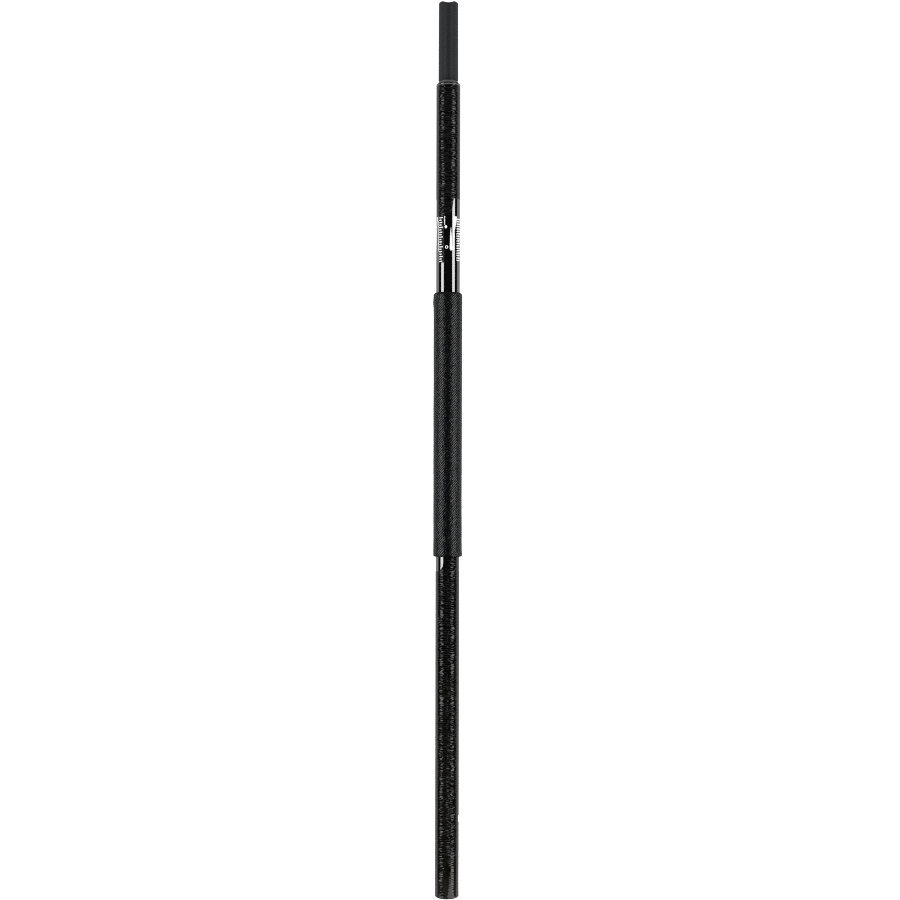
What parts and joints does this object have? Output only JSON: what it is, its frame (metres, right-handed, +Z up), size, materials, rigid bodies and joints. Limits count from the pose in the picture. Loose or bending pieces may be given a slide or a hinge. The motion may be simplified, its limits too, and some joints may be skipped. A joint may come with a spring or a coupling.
{
  "type": "curling broom handle",
  "caption": "Curling broom handle: glossy black composite tube with a textured hand grip, a fluted spigot for the brush head and a plugged free end.",
  "frame": {"origin": "centre of the face that the free end stands on", "axes": "+Z up the shaft towards the spigot, +X out through the small round hole in the tube's wall, so -Y faces the side that carries the marks"},
  "size_m": [0.035, 0.035, 1.075],
  "materials": {
    "shaft_composite": "gloss clear coat over a dark composite with fine wound ridges",
    "clear_film": "smooth clear film, printed with plain marks",
    "grip_foam": "closed-cell foam",
    "grip_tape": "cloth tape",
    "grip_cover": "matt, covered in fine slanting ridges",
    "ring_plastic": "satin grey",
    "spigot_plastic": "matt charcoal moulding",
    "plug_rubber": "smooth black"
  },
  "bodies": {
    "root": {"shaft_tube": "shaft_composite", "label_film": "clear_film", "grip_underlay": "grip_foam", "grip_band_lower": "grip_tape", "grip_band_upper": "grip_tape", "grip_sleeve": "grip_cover", "seat_ring": "ring_plastic", "head_spigot": "spigot_plastic", "end_plug": "plug_rubber"}
  },
  "joints": []
}
